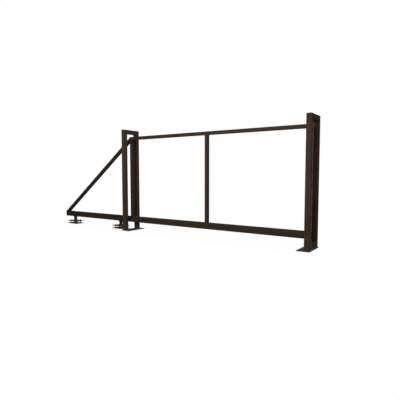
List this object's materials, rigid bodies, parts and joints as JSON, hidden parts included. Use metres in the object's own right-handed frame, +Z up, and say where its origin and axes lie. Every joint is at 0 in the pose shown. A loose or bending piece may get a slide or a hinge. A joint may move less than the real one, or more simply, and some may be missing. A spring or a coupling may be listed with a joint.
{
  "type": "cantilever sliding driveway gate",
  "caption": "Unclad cantilever sliding gate: a braced tube leaf with a roller rail runs on roller carriages through a guide portal into a catch portal.",
  "frame": {"origin": "middle of the underside of the guide portal's base plate, at ground level under the leaf", "axes": "+X along the gate from the guide portal to the catch portal, +Y across it to the yard side, +Z up"},
  "size_m": [5.782, 0.45, 1.99],
  "materials": {
    "brown_paint": "matt dark brown powder coat",
    "fastener_steel": "dark oiled steel",
    "roller_steel": "turned steel, rolled bright on the tread"
  },
  "bodies": {
    "base": {"guide_base_plate": "brown_paint", "guide_front_post": "brown_paint", "guide_rear_post": "brown_paint", "guide_crossbar": "brown_paint", "catch_base_plate": "brown_paint", "catch_front_post": "brown_paint", "catch_rear_post": "brown_paint", "catch_crossbar": "brown_paint", "lead_carriage_lower_plate": "brown_paint", "lead_carriage_upper_plate": "brown_paint", "lead_carriage_foot": "brown_paint", "lead_carriage_pedestal": "brown_paint", "lead_carriage_truck": "brown_paint", "tail_carriage_lower_plate": "brown_paint", "tail_carriage_upper_plate": "brown_paint", "tail_carriage_foot": "brown_paint", "tail_carriage_pedestal": "brown_paint", "tail_carriage_truck": "brown_paint", "levelling_studs": "fastener_steel", "pivot_pins": "fastener_steel", "roller_sets": "roller_steel"},
    "leaf": {"roller_rail": "brown_paint", "bottom_tube": "brown_paint", "top_tube": "brown_paint", "tail_stile": "brown_paint", "middle_stile": "brown_paint", "lead_stile": "brown_paint", "tail_brace": "brown_paint", "tail_end_cap": "brown_paint", "lead_end_cap": "brown_paint"}
  },
  "joints": [
    {"name": "leaf_slide", "type": "slide", "parent": "base", "child": "leaf", "axis": [-1, 0, 0], "range_m": [0, 3.6]}
  ]
}
